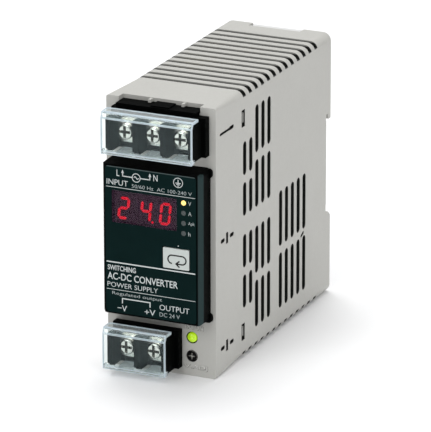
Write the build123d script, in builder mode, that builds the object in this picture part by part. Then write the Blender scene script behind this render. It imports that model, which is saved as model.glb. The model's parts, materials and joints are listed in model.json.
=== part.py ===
"""DIN rail power supply with a digital meter: moulded case, two screw terminal blocks, display panel.

Frame: +X to the right seen from the front, +Y to the rear (the rail side), +Z up.
The origin is the centre of the underside of the overall box. Sizes are in millimetres.
"""
from build123d import *
import os

# ---------------------------------------------------------------- driving dimensions
WIDTH = 40.0            # whole unit, across the rail
HEIGHT = 95.0
CASE_DEPTH = 97.0       # case alone, front face to rear
FRONT_STAND = 11.3      # terminal covers stand this far in front of the case face
DEPTH = CASE_DEPTH + FRONT_STAND
FACE = FRONT_STAND - DEPTH / 2      # y of the case's front face
REAR = DEPTH / 2                    # y of the rearmost face
HALF = WIDTH / 2
MID_Z = HEIGHT / 2

WALL = 1.6              # case side, top and bottom walls
FRONT_WALL = 1.8
EDGE_FRONT = 0.8        # long-edge radius at the front face
EDGE_REAR = 3.0         # long-edge radius from EDGE_BLEND rearwards
EDGE_BLEND = 20.0

RAIL_FLOOR = 4.5        # depth of the rail recess
RAIL_LOW = 30.3         # lower end of the recess; a 35 mm rail sits from 31.0 to 66.0
RAIL_HIGH = 66.3        # roof of the groove behind the fixed hook
RAIL_LIP = 64.3         # tip of the fixed hook
RAIL_RELIEF = 0.2       # the floor is this much deeper behind both hooks than at the seat
RAIL_SEAT_LOW = 33.4    # lower end of the seat, just above the slider's hook
RAIL_FLANGE_GAP = 1.3   # room for the 1 mm rail flange
CHANNEL = 9.7           # half width of the rear channel
CLIP_Z = (67.2, 94.6)   # white clip that fills the channel above the rail

VENT = 2.8              # width of a side vent slot
VENT_PITCH = 5.0
VENT_FIRST = 23.35      # first column, behind the case face
RIB_SLOT = 2.2          # width of a top or bottom slot
RIB_SLOTS = 13
RIB_SLOT_DEPTH = 1.7
RIB_SLOT_END = 2.2      # a slot turns over the long edge and stops this far down the side

POLE_PITCH = 10.1       # between terminal screws
POLE_FIRST = -9.7       # x of the left terminal
INPUT_POLES = 3
OUTPUT_POLES = 2
INPUT_Z = 85.4          # height of the input screws
OUTPUT_Z = HEIGHT - INPUT_Z
SCREW_HEAD = 5.6        # head diameter
SCREW_SHANK = 3.4
SHANK_GAP = 0.06
SCREW_HEAD_H = 2.3

PANEL_BASE_Z = 20.9     # underside of the display panel
PANEL_TOP_Z = 73.5
PANEL_STAND = 7.5       # panel face in front of the case face
SKIN = 0.25             # printed front sheet

LAMP_X = 11.2
LAMP_Z = 13.7           # green lamp
TRIM_Z = 7.1            # voltage adjuster

BOARD_X = -14.8         # main circuit board, component side
BOARD_T = 1.6

os.makedirs("parts", exist_ok=True)
made = []


# ---------------------------------------------------------------- helpers
def facing_front(y):
    """Sketch plane at y: sketch x is X, sketch y is Z, and a positive extrusion goes forwards."""
    return Plane.XZ.offset(-y)


def facing_right(x):
    """Sketch plane at x: sketch x is Y, sketch y is Z, and a positive extrusion goes right."""
    return Plane.YZ.offset(x)


def bar(x, y, z, mode=Mode.ADD):
    """Rectangular block between pairs of limits, in the part that is being built."""
    with Locations(((x[0] + x[1]) / 2, (y[0] + y[1]) / 2, (z[0] + z[1]) / 2)):
        Box(x[1] - x[0], y[1] - y[0], z[1] - z[0], mode=mode)


def rod_y(x, z, radius, y, mode=Mode.ADD):
    """Round bar along Y, centred on x, z, between the pair of limits y."""
    with Locations((x, (y[0] + y[1]) / 2, z)):
        Cylinder(radius, y[1] - y[0], rotation=(90, 0, 0), mode=mode)


def rod_x(y, z, radius, x, mode=Mode.ADD):
    """Round bar along X."""
    with Locations(((x[0] + x[1]) / 2, y, z)):
        Cylinder(radius, x[1] - x[0], rotation=(0, 90, 0), mode=mode)


def rod_z(x, y, radius, z, mode=Mode.ADD):
    """Round bar along Z."""
    with Locations((x, y, (z[0] + z[1]) / 2)):
        Cylinder(radius, z[1] - z[0], mode=mode)


def finish(part, name):
    """Label a finished piece and write its file."""
    part.label = name
    export_step(part, f"parts/{name}.step")
    made.append(name)


def vents(x, depth):
    """Side ventilation slots, cut from the plane at x to the right by depth."""
    def column(index):
        return FACE + VENT_FIRST + VENT_PITCH * index

    short = [(column(i), MID_Z + s * h) for i in (0, 1) for s in (-1, 1) for h in (9.2, 23.6)]
    long = [(column(i), MID_Z + s * h) for i in (2, 3, 4) for s in (-1, 1) for h in (11.8, 31.2)]
    rear = [(column(i), z) for i in range(6, 11) for z in (18.1, 40.6)]
    with BuildSketch(facing_right(x)) as outline:
        with Locations(*short):
            SlotOverall(11.8, VENT, rotation=90)
        with Locations(*long):
            SlotOverall(16.8, VENT, rotation=90)
        with Locations(*rear):
            SlotOverall(20.0, VENT, rotation=90)
    extrude(outline.sketch, amount=depth, mode=Mode.SUBTRACT)


# ---------------------------------------------------------------- case
COVER_Y = (FACE + 3.5, REAR - 8.5)  # outline of the side cover
COVER_Z = (5.5, HEIGHT - 5.5)
COVER_SEAT = 1.6                    # width of the ledge that the side cover rests on
COVER_GAP = 0.15                    # gap all round the side cover
CAVITY_REAR = REAR - RAIL_FLOOR - 1.8
BLOCK_X = (-16.8, 17.7)             # outside of the input terminal block
BLOCK_NECK = 1.0                    # the part that passes the front wall is this much smaller
OUTPUT_RIGHT = 7.6                  # right end of the output terminal block
BLOCK_HALF_H = 6.8                  # half height of a terminal block
RECESS_X = (-15.3, 14.4)            # recess in the case's top front edge
RECESS_DEPTH = 3.2
RECESS_FLOOR = HEIGHT - 2.2
CAP_TOP = HEIGHT - 1.35             # top of the block's cap, which fills the recess
TOOTH_X = (-4.7, 7.5)               # case teeth that reach over the cap
LATCH_Y = FACE + 22.2               # side cover's latch arms, and their windows
LATCH_Z = (MID_Z - 37.9, MID_Z + 37.9)
WINDOW = (2.7, 6.0)


def neck_opening(right, z):
    """Front wall opening for a terminal block's neck."""
    gap = 0.1
    bar(
        (BLOCK_X[0] + BLOCK_NECK - gap, right - BLOCK_NECK + gap),
        (FACE - 1, FACE + FRONT_WALL + 1),
        (z - BLOCK_HALF_H + BLOCK_NECK - gap, z + BLOCK_HALF_H - BLOCK_NECK + gap),
        Mode.SUBTRACT,
    )


with BuildPart() as main_case:
    # Outer form: long edges open from nearly sharp to a 3 mm radius over the first 20 mm
    with BuildSketch(facing_front(FACE)):
        with Locations((0, MID_Z)):
            RectangleRounded(WIDTH, HEIGHT, EDGE_FRONT)
    with BuildSketch(facing_front(FACE + EDGE_BLEND)):
        with Locations((0, MID_Z)):
            RectangleRounded(WIDTH, HEIGHT, EDGE_REAR)
    loft()
    with BuildSketch(facing_front(FACE + EDGE_BLEND)):
        with Locations((0, MID_Z)):
            RectangleRounded(WIDTH, HEIGHT, EDGE_REAR)
    extrude(amount=EDGE_BLEND - CASE_DEPTH)
    chamfer(main_case.faces().sort_by(Axis.Y)[-1].edges(), 0.8)

    # Rail recess with a fixed hook at its top, and a sloped lead-in at its foot
    with BuildSketch(facing_right(-HALF - 1)):
        with BuildLine():
            Polyline(
                (REAR - RAIL_FLOOR - RAIL_RELIEF, RAIL_LOW),
                (REAR - RAIL_FLOOR - RAIL_RELIEF, RAIL_SEAT_LOW),
                (REAR - RAIL_FLOOR, RAIL_SEAT_LOW),
                (REAR - RAIL_FLOOR, RAIL_LIP - RAIL_RELIEF),
                (REAR - RAIL_FLOOR - RAIL_RELIEF, RAIL_LIP - RAIL_RELIEF),
                (REAR - RAIL_FLOOR - RAIL_RELIEF, RAIL_HIGH),
                (REAR - RAIL_FLOOR + RAIL_FLANGE_GAP, RAIL_HIGH),
                (REAR - RAIL_FLOOR + RAIL_FLANGE_GAP, RAIL_LIP + 0.6),
                (REAR - RAIL_FLOOR + RAIL_FLANGE_GAP + 0.6, RAIL_LIP),
                (REAR + 1, RAIL_LIP),
                (REAR + 1, RAIL_LOW - 3),
                (REAR - 0.8, RAIL_LOW - 1.6),
                (REAR - 2.6, RAIL_LOW),
                close=True,
            )
        make_face()
    extrude(amount=WIDTH + 2, mode=Mode.SUBTRACT)

    # Inside, with two pockets that lighten each thick rear block
    bar(
        (WALL - HALF, HALF - WALL),
        (FACE + FRONT_WALL, CAVITY_REAR),
        (WALL, HEIGHT - WALL),
        Mode.SUBTRACT,
    )
    for side in (-1, 1):
        pocket_x = sorted((side * 12.6, side * (HALF - WALL)))
        bar(pocket_x, (CAVITY_REAR - 0.1, REAR - 1.6), (RAIL_HIGH + 1.8, HEIGHT - WALL), Mode.SUBTRACT)
        bar(pocket_x, (CAVITY_REAR - 0.1, REAR - 1.6), (WALL, RAIL_LOW - 4.2), Mode.SUBTRACT)

    # Rear channel: plain above the rail, undercut below it to guide the rail slider
    bar((-CHANNEL, CHANNEL), (REAR - 4.0, REAR + 1), (RAIL_HIGH - 3, HEIGHT + 1), Mode.SUBTRACT)
    bar((-CHANNEL, CHANNEL), (REAR - 4.0, REAR + 1), (-1, RAIL_LOW + 1), Mode.SUBTRACT)
    bar((-11.2, 11.2), (REAR - 4.0, REAR - 2.2), (-1, RAIL_LOW + 1), Mode.SUBTRACT)
    # Fixed peg that carries the slider's spring
    bar((-3.0, 3.0), (REAR - 4.0, REAR - 1.0), (7.0, 8.6))

    # Ventilation
    vents(HALF - WALL - 0.5, WALL + 1)
    for index in range(RIB_SLOTS):
        y = FACE + VENT_FIRST + VENT_PITCH * index
        slot_y = (y - RIB_SLOT / 2, y + RIB_SLOT / 2)
        bar((-HALF - 1, HALF + 1), slot_y, (HEIGHT - RIB_SLOT_DEPTH, HEIGHT + 1), Mode.SUBTRACT)
        bar((-HALF - 1, HALF + 1), slot_y, (-1, RIB_SLOT_DEPTH), Mode.SUBTRACT)
        bar((HALF - WALL - 0.1, HALF + 1), slot_y, (WALL, RIB_SLOT_END), Mode.SUBTRACT)
        bar((HALF - WALL - 0.1, HALF + 1), slot_y, (HEIGHT - RIB_SLOT_END, HEIGHT - WALL), Mode.SUBTRACT)

    # Right wall: latch windows and moulded relief marks near the front
    for z in LATCH_Z:
        bar(
            (HALF - WALL - 1, HALF + 1),
            (LATCH_Y - WINDOW[0] / 2, LATCH_Y + WINDOW[0] / 2),
            (z - WINDOW[1] / 2, z + WINDOW[1] / 2),
            Mode.SUBTRACT,
        )
    with BuildSketch(facing_right(HALF - 1.1)):
        with Locations((FACE + 8.9, MID_Z + 37.5)):
            SlotOverall(11.2, 0.9)
        with Locations((FACE + 12.6, MID_Z + 37.6)):
            SlotOverall(3.8, 1.3)
        for z in (MID_Z - 0.1, MID_Z - 38.2):
            with Locations((FACE + 5.6, z), (FACE + 12.9, z)):
                SlotOverall(3.2, 1.4)
            with Locations((FACE + 9.1, z)):
                Rectangle(1.7, 4.0)
        with Locations((FACE + 71.9, 28.9)):
            SlotOverall(3.0, 1.1, rotation=25)
    extrude(amount=2, mode=Mode.SUBTRACT)

    # Left wall: opening for the side cover, with a ledge behind it
    bar((-HALF - 1, WALL - HALF + 0.1), COVER_Y, COVER_Z, Mode.SUBTRACT)
    ledge = 1.2
    bar(
        (WALL - HALF, WALL - HALF + ledge),
        (COVER_Y[0] - ledge, COVER_Y[1] + ledge),
        (COVER_Z[0] - ledge, COVER_Z[1] + ledge),
    )
    bar(
        (-HALF, WALL - HALF + 2),
        (COVER_Y[0] + COVER_SEAT, COVER_Y[1] - COVER_SEAT),
        (COVER_Z[0] + COVER_SEAT, COVER_Z[1] - COVER_SEAT),
        Mode.SUBTRACT,
    )

    # Front wall: recess over the input block, terminal openings, lamp, adjuster, panel pegs
    bar(RECESS_X, (FACE + FRONT_WALL, FACE + RECESS_DEPTH + 1.6), (HEIGHT - 3.4, HEIGHT - WALL))
    bar(RECESS_X, (FACE - 1, FACE + RECESS_DEPTH), (RECESS_FLOOR, HEIGHT + 1), Mode.SUBTRACT)
    for x in TOOTH_X:
        bar((x - 0.5, x + 0.5), (FACE + 1.2, FACE + RECESS_DEPTH + 0.1), (CAP_TOP + 0.1, HEIGHT - 0.2))
    neck_opening(BLOCK_X[1], INPUT_Z)
    neck_opening(OUTPUT_RIGHT, OUTPUT_Z)
    rod_y(LAMP_X, LAMP_Z, 2.1, (FACE - 1, FACE + FRONT_WALL + 1), Mode.SUBTRACT)
    rod_y(LAMP_X, TRIM_Z, 2.1, (FACE - 1, FACE + FRONT_WALL + 1), Mode.SUBTRACT)
    bar((-9.0, 9.0), (FACE - 1, FACE + FRONT_WALL + 1), (30.0, 35.0), Mode.SUBTRACT)
    for x in (-16.9, 16.9):
        for z in (26.0, 68.5):
            rod_y(x, z, 1.1, (FACE - 1, FACE + FRONT_WALL + 1), Mode.SUBTRACT)
finish(main_case.part, "main_case")

with BuildPart() as side_cover:
    bar(
        (-HALF, WALL - HALF),
        (COVER_Y[0] + COVER_GAP, COVER_Y[1] - COVER_GAP),
        (COVER_Z[0] + COVER_GAP, COVER_Z[1] - COVER_GAP),
    )
    vents(-HALF - 0.5, WALL + 1)
    # Two long arms reach across to the latch windows
    for z in LATCH_Z:
        bar((WALL - HALF, HALF - WALL - 0.3), (LATCH_Y - 1.1, LATCH_Y + 1.1), (z - 1.9, z + 1.9))
        bar((HALF - WALL - 0.3, HALF - 0.5), (LATCH_Y - 1.1, LATCH_Y + 1.1), (z - 1.7, z + 1.7))
    # Locating ribs inside the ledge
    for y in (COVER_Y[0] + 2.4, COVER_Y[1] - 2.4):
        bar((WALL - HALF, WALL - HALF + 1.2), (y - 0.6, y + 0.6), (COVER_Z[0] + 12, COVER_Z[1] - 12))
finish(side_cover.part, "side_cover")

# ---------------------------------------------------------------- terminals
POCKET = 8.0            # width of a terminal pocket
POCKET_FLOOR = FACE - 3.0
PARTITION_FRONT = FACE - 9.8
RIB_LOW = 5.7           # ribs reach this far below the screws, in front of their feet
RIB_HIGH = 5.0
PLATE_T = 1.0
WASHER_T = 0.8
WASHER = 6.8            # side of the square washer
PLATE_FACE = POCKET_FLOOR - PLATE_T
HEAD_BACK = PLATE_FACE - WASHER_T


def poles(count):
    return [POLE_FIRST + POLE_PITCH * i for i in range(count)]


def terminal_block(right, z, count, wire_side):
    """Black block: base on the case face, neck through the wall, ribs between the pockets."""
    half = BLOCK_HALF_H
    bar((BLOCK_X[0], right), (POCKET_FLOOR, FACE), (z - half, z + half))
    neck = (BLOCK_X[0] + BLOCK_NECK, right - BLOCK_NECK)
    bar(neck, (FACE, FACE + 9), (z - half + BLOCK_NECK, z + half - BLOCK_NECK))
    xs = poles(count)
    ribs = [(xs[0] - POCKET / 2 - 1.8, xs[0] - POCKET / 2)]
    ribs += [(x + POCKET / 2, x + POLE_PITCH - POCKET / 2) for x in xs[:-1]]
    ribs += [(xs[-1] + POCKET / 2, xs[-1] + POCKET / 2 + 1.7)]
    for rib in ribs:
        bar(rib, (PARTITION_FRONT, POCKET_FLOOR), (z - RIB_LOW, z + RIB_HIGH))
        # Foot that drops into the cover's comb
        bar(rib, (FACE - 8.3, POCKET_FLOOR), (z - half, z - RIB_LOW))
    for x in xs:
        rod_y(x, z, 2.1, (POCKET_FLOOR - 1, FACE + 5), Mode.SUBTRACT)
        # Wire rest, a shallow step on the pocket's wire side
        low, high = sorted((z + wire_side * 4.9, z + wire_side * 6.6))
        bar((x - 2.6, x + 2.6), (POCKET_FLOOR, POCKET_FLOOR + 0.8), (low, high), Mode.SUBTRACT)


with BuildPart() as input_terminal_block:
    terminal_block(BLOCK_X[1], INPUT_Z, INPUT_POLES, 1)
    # Raised cap that fills the recess in the case's front edge, with a pad between the case teeth
    cap_x = (RECESS_X[0] + 0.2, RECESS_X[1] - 0.2)
    cap_rear = FACE + RECESS_DEPTH - 0.15
    bar(cap_x, (POCKET_FLOOR, FACE), (INPUT_Z + BLOCK_HALF_H, CAP_TOP))
    bar(cap_x, (FACE, cap_rear), (RECESS_FLOOR + 0.1, CAP_TOP))
    bar((-2.6, 4.2), (FACE - 2.4, cap_rear), (CAP_TOP, CAP_TOP + 0.45))
finish(input_terminal_block.part, "input_terminal_block")

with BuildPart() as output_terminal_block:
    terminal_block(OUTPUT_RIGHT, OUTPUT_Z, OUTPUT_POLES, -1)
finish(output_terminal_block.part, "output_terminal_block")


def terminal_plate(x, z):
    """Plated strip under the washer, bored for the screw."""
    bar((x - 2.9, x + 2.9), (PLATE_FACE, POCKET_FLOOR), (z - 4.4, z + 4.4))
    rod_y(x, z, SCREW_SHANK / 2 + SHANK_GAP, (PLATE_FACE - 1, POCKET_FLOOR + 1), Mode.SUBTRACT)


def square_washer(x, z):
    """Square pressure washer with rounded corners."""
    with BuildSketch(facing_front(PLATE_FACE)) as outline:
        with Locations((x, z)):
            RectangleRounded(WASHER, WASHER, 0.9)
        with Locations((x, z)):
            Circle(SCREW_SHANK / 2 + SHANK_GAP, mode=Mode.SUBTRACT)
    extrude(outline.sketch, amount=WASHER_T)


def terminal_screw(x, z):
    """Pan head clamp screw with a cross recess."""
    back = HEAD_BACK - 0.1
    front = back - SCREW_HEAD_H
    with BuildPart() as screw:
        rod_y(x, z, SCREW_HEAD / 2, (front, back))
        fillet(screw.edges().group_by(Axis.Y)[0], 0.9)
        rod_y(x, z, SCREW_SHANK / 2, (back, FACE + 3.0))
        chamfer(screw.edges().group_by(Axis.Y)[-1], 0.4)
        bar((x - 0.5, x + 0.5), (front - 1, front + 1.2), (z - 2.1, z + 2.1), Mode.SUBTRACT)
        bar((x - 2.1, x + 2.1), (front - 1, front + 1.2), (z - 0.5, z + 0.5), Mode.SUBTRACT)
    return screw.part


def clear_cover(right, z, count):
    """Clear moulding over a terminal block: front plate, top lip, and a comb below it."""
    front = -DEPTH / 2
    plate = 1.0
    low = z - 7.4
    high = z + 7.3
    left = BLOCK_X[0]
    # Section of plate, sloped shoulder and lips, drawn on a plane across the unit
    with BuildSketch(facing_right(left)) as section:
        with BuildLine():
            Polyline(
                (front, low),
                (front, high - 2.2),
                (front + 1.0, high),
                (front + 5.6, high),
                (front + 5.6, high - plate),
                (front + 1.6, high - plate),
                (front + plate, high - 2.4),
                (front + plate, low + plate),
                (front + 2.6, low + plate),
                (front + 2.6, low),
                close=True,
            )
        make_face()
    extrude(section.sketch, amount=right - left)
    # Comb teeth reach in between the block's ribs
    for x in poles(count):
        bar((x - 2.3, x + 3.5), (front + 2.5, POCKET_FLOOR - 0.35), (low, low + plate))
    # Short return at each end of the lower lip
    for x in (left + 0.3, right - 0.3):
        bar((x - 0.3, x + 0.3), (front + 0.5, front + 2.6), (low, low + 1.5))


with BuildPart() as input_cover:
    clear_cover(BLOCK_X[1] - 1.3, INPUT_Z, INPUT_POLES)
finish(input_cover.part, "input_cover")

with BuildPart() as output_cover:
    clear_cover(OUTPUT_RIGHT - 1.3, OUTPUT_Z, OUTPUT_POLES)
finish(output_cover.part, "output_cover")

INPUT_NAMES = ("live", "neutral", "earth")
OUTPUT_NAMES = ("minus", "plus")
terminals = [(n, x, INPUT_Z) for n, x in zip(INPUT_NAMES, poles(INPUT_POLES))]
terminals += [(n, x, OUTPUT_Z) for n, x in zip(OUTPUT_NAMES, poles(OUTPUT_POLES))]
for terminal, x, z in terminals:
    finish(terminal_screw(x, z), f"{terminal}_screw")
    with BuildPart() as washer:
        square_washer(x, z)
    finish(washer.part, f"{terminal}_washer")

with BuildPart() as input_terminal_plates:
    for x in poles(INPUT_POLES):
        terminal_plate(x, INPUT_Z)
finish(input_terminal_plates.part, "input_terminal_plates")

with BuildPart() as output_terminal_plates:
    for x in poles(OUTPUT_POLES):
        terminal_plate(x, OUTPUT_Z)
finish(output_terminal_plates.part, "output_terminal_plates")

# ---------------------------------------------------------------- display panel
PANEL_HALF = 18.1
PANEL_FRONT = FACE - PANEL_STAND + SKIN     # moulding's face, behind the printed sheet
PANEL_SKIN = 2.0
WINDOW_X = (-14.6, 9.2)
WINDOW_Z = (53.4, 64.7)
BUTTON_X = (4.2, 13.7)
BUTTON_Z = (40.1, 47.2)
BUTTON_GAP = 0.3
PIPE_X = 11.7
PIPE_Z = (63.6, 60.05, 56.5, 52.95)
PIPE_R = 0.85
PIPE_GAP = 0.05
DISPLAY_BOARD_Y = FACE - 2.6                # component side of the display board

with BuildPart() as display_bezel:
    # Body with a bevelled right edge and a small left bevel
    with BuildSketch(Plane.XY.offset(PANEL_BASE_Z)):
        with BuildLine():
            Polyline(
                (-PANEL_HALF, FACE),
                (-PANEL_HALF, PANEL_FRONT + 0.6),
                (-PANEL_HALF + 0.6, PANEL_FRONT),
                (PANEL_HALF - 1.4, PANEL_FRONT),
                (PANEL_HALF, PANEL_FRONT + 1.4),
                (PANEL_HALF, FACE),
                close=True,
            )
        make_face()
    extrude(amount=PANEL_TOP_Z - PANEL_BASE_Z)
    # Sloped roof and rounded corners of the face
    with BuildSketch(facing_right(-PANEL_HALF)):
        with BuildLine():
            Polyline(
                (FACE, PANEL_TOP_Z),
                (PANEL_FRONT, PANEL_TOP_Z),
                (FACE, PANEL_TOP_Z + 0.9),
                close=True,
            )
        make_face()
    extrude(amount=2 * PANEL_HALF)
    with BuildSketch(facing_front(FACE)):
        with Locations((0, (PANEL_BASE_Z + PANEL_TOP_Z + 0.9) / 2)):
            RectangleRounded(2 * PANEL_HALF, PANEL_TOP_Z + 0.9 - PANEL_BASE_Z, 1.3)
    extrude(amount=PANEL_STAND + 1, mode=Mode.INTERSECT)
    # Rounded ears at the right-hand corners of the base
    for z in (PANEL_BASE_Z + 1.0, PANEL_TOP_Z - 0.9):
        with BuildSketch(facing_front(FACE)):
            with Locations((PANEL_HALF - 1.0, z)):
                RectangleRounded(3.8, 3.2, 1.2)
        extrude(amount=1.3)
    # Room for the display board, then the openings
    bar(
        (-16.2, 16.2),
        (PANEL_FRONT + PANEL_SKIN, FACE + 1),
        (PANEL_BASE_Z + 2, PANEL_TOP_Z - 1.6),
        Mode.SUBTRACT,
    )
    window_gap = 0.1
    through = (PANEL_FRONT - 1, PANEL_FRONT + PANEL_SKIN + 1)
    bar(
        (WINDOW_X[0] - window_gap, WINDOW_X[1] + window_gap),
        through,
        (WINDOW_Z[0] - window_gap, WINDOW_Z[1] + window_gap),
        Mode.SUBTRACT,
    )
    bar(
        (BUTTON_X[0] - BUTTON_GAP, BUTTON_X[1] + BUTTON_GAP),
        through,
        (BUTTON_Z[0] - BUTTON_GAP, BUTTON_Z[1] + BUTTON_GAP),
        Mode.SUBTRACT,
    )
    for z in PIPE_Z:
        rod_y(PIPE_X, z, PIPE_R + PIPE_GAP, through, Mode.SUBTRACT)
    # Four pegs into the case front wall
    for x in (-16.9, 16.9):
        for z in (26.0, 68.5):
            rod_y(x, z, 1.0, (FACE, FACE + 2.1))
finish(display_bezel.part, "display_bezel")

with BuildPart() as front_sheet:
    # Printed sheet bonded to the panel's face
    with BuildSketch(facing_front(PANEL_FRONT)):
        with Locations((-0.4, (PANEL_BASE_Z + PANEL_TOP_Z) / 2)):
            RectangleRounded(2 * PANEL_HALF - 3.0, PANEL_TOP_Z - PANEL_BASE_Z - 1.2, 1.0)
        with Locations((sum(BUTTON_X) / 2, sum(BUTTON_Z) / 2)):
            Rectangle(
                BUTTON_X[1] - BUTTON_X[0] + 2 * BUTTON_GAP,
                BUTTON_Z[1] - BUTTON_Z[0] + 2 * BUTTON_GAP,
                mode=Mode.SUBTRACT,
            )
        with Locations((sum(WINDOW_X) / 2, sum(WINDOW_Z) / 2)):
            Rectangle(WINDOW_X[1] - WINDOW_X[0], WINDOW_Z[1] - WINDOW_Z[0], mode=Mode.SUBTRACT)
        with Locations(*[(PIPE_X, z) for z in PIPE_Z]):
            Circle(PIPE_R + PIPE_GAP, mode=Mode.SUBTRACT)
    extrude(amount=SKIN)
finish(front_sheet.part, "front_sheet")

with BuildPart() as display_window:
    bar(WINDOW_X, (PANEL_FRONT - SKIN + 0.02, PANEL_FRONT + 0.8), WINDOW_Z)
finish(display_window.part, "display_window")

with BuildPart() as digit_module:
    # Moulded block with three digit wells, on the display board
    module_front = PANEL_FRONT + 1.4
    bar(
        (WINDOW_X[0] + 0.4, WINDOW_X[1] - 0.4),
        (module_front, DISPLAY_BOARD_Y),
        (WINDOW_Z[0] + 0.3, WINDOW_Z[1] - 0.3),
    )
    for x in (-11.0, -2.9, 4.3):
        bar((x - 3.1, x + 3.1), (module_front - 1, module_front + 0.5), (54.0, 62.5), Mode.SUBTRACT)
finish(digit_module.part, "digit_module")

for index, z in enumerate(PIPE_Z):
    with BuildPart() as pipe:
        rod_y(PIPE_X, z, PIPE_R, (PANEL_FRONT - SKIN, DISPLAY_BOARD_Y - 1.0))
        bar((PIPE_X - 1.2, PIPE_X + 1.2), (DISPLAY_BOARD_Y - 1.0, DISPLAY_BOARD_Y), (z - 0.9, z + 0.9))
    finish(pipe.part, f"indicator_{index + 1}")

SWITCH_H = 1.9
BUTTON_TRAVEL = 0.5
BUTTON_PROUD = 0.15
button_front = PANEL_FRONT - SKIN - BUTTON_PROUD
SWITCH_X = sum(BUTTON_X) / 2
SWITCH_Z = sum(BUTTON_Z) / 2

with BuildPart() as mode_button:
    # Cap with a stem behind it, and side flanges that stop it from falling out
    bar(BUTTON_X, (button_front, PANEL_FRONT + PANEL_SKIN + 0.2), BUTTON_Z)
    fillet(mode_button.edges().filter_by(Axis.Y), 0.3)
    flange_y = (PANEL_FRONT + PANEL_SKIN + 0.2, PANEL_FRONT + PANEL_SKIN + 0.7)
    bar((BUTTON_X[0] - 0.9, BUTTON_X[1] + 0.9), flange_y, BUTTON_Z)
finish(mode_button.part, "mode_button")

with BuildPart() as mode_switch:
    # Tactile switch body, bored for its plunger
    bar((SWITCH_X - 3, SWITCH_X + 3), (DISPLAY_BOARD_Y - 1.0, DISPLAY_BOARD_Y), (SWITCH_Z - 3, SWITCH_Z + 3))
    rod_y(SWITCH_X, SWITCH_Z, 1.6, (DISPLAY_BOARD_Y - 2, DISPLAY_BOARD_Y - 0.2), Mode.SUBTRACT)
finish(mode_switch.part, "mode_switch")

with BuildPart() as switch_plunger:
    rod_y(SWITCH_X, SWITCH_Z, 1.5, (flange_y[1], DISPLAY_BOARD_Y - 0.75))
finish(switch_plunger.part, "switch_plunger")

with BuildPart() as display_board:
    bar((-15.8, 15.8), (DISPLAY_BOARD_Y, DISPLAY_BOARD_Y + 1.4), (PANEL_BASE_Z + 2.4, PANEL_TOP_Z - 2.0))
finish(display_board.part, "display_board")

# ---------------------------------------------------------------- lamp and voltage adjuster
SMALL_BOARD_Y = FACE + 7.0
TRIMMER_BODY = (FACE + 2.6, SMALL_BOARD_Y)

with BuildPart() as output_lamp:
    rod_y(LAMP_X, LAMP_Z, 1.75, (FACE - 0.9, FACE + 5.0))
    fillet(output_lamp.edges().group_by(Axis.Y)[0], 0.8)
    rod_y(LAMP_X, LAMP_Z, 2.3, (FACE + 2.6, FACE + 4.0))
    for x in (LAMP_X - 0.9, LAMP_X + 0.9):
        bar((x - 0.25, x + 0.25), (FACE + 4.9, SMALL_BOARD_Y), (LAMP_Z - 0.25, LAMP_Z + 0.25))
finish(output_lamp.part, "output_lamp")

with BuildPart() as trimmer_body:
    bar((LAMP_X - 3.2, LAMP_X + 3.2), TRIMMER_BODY, (TRIM_Z - 3.0, TRIM_Z + 3.0))
    rod_y(LAMP_X, TRIM_Z, 1.3, (FACE + 2, FACE + 5.6), Mode.SUBTRACT)
finish(trimmer_body.part, "trimmer_body")

with BuildPart() as trimmer_rotor:
    # Adjuster shaft: cross slotted face just proud of the case, spindle in the body
    rod_y(LAMP_X, TRIM_Z, 1.75, (FACE - 0.5, FACE + 2.3))
    chamfer(trimmer_rotor.edges().group_by(Axis.Y)[0], 0.2)
    rod_y(LAMP_X, TRIM_Z, 1.25, (FACE + 2.3, FACE + 5.3))
    bar((LAMP_X - 1.3, LAMP_X + 1.3), (FACE - 2, FACE + 0.3), (TRIM_Z - 0.3, TRIM_Z + 0.3), Mode.SUBTRACT)
    bar((LAMP_X - 0.3, LAMP_X + 0.3), (FACE - 2, FACE + 0.3), (TRIM_Z - 1.3, TRIM_Z + 1.3), Mode.SUBTRACT)
finish(trimmer_rotor.part, "trimmer_rotor")

with BuildPart() as adjuster_board:
    bar((LAMP_X - 4.3, LAMP_X + 5.4), (SMALL_BOARD_Y, SMALL_BOARD_Y + 1.2), (3.4, 17.6))
finish(adjuster_board.part, "adjuster_board")

# ---------------------------------------------------------------- rail slider
SLIDER_TRAVEL = 8.0
SLIDER_GAP = 0.3
slider_y = (REAR - 4.0 + SLIDER_GAP, REAR - 0.4)

with BuildPart() as upper_clip:
    # White moulding that fills the channel above the rail, with a grip recess
    bar((SLIDER_GAP - CHANNEL, CHANNEL - SLIDER_GAP), (REAR - 3.9, REAR - 0.5), CLIP_Z)
    chamfer(upper_clip.edges().group_by(Axis.Z)[-1], 0.4)
    bar((-6.0, 6.0), (REAR - 2.1, REAR), (CLIP_Z[0] + 8, CLIP_Z[1] - 6), Mode.SUBTRACT)
    for step in range(4):
        z = CLIP_Z[0] + 10.5 + 2.6 * step
        bar((-5.0, 5.0), (REAR - 2.2, REAR - 1.4), (z - 0.5, z + 0.5))
finish(upper_clip.part, "upper_clip")

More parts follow.
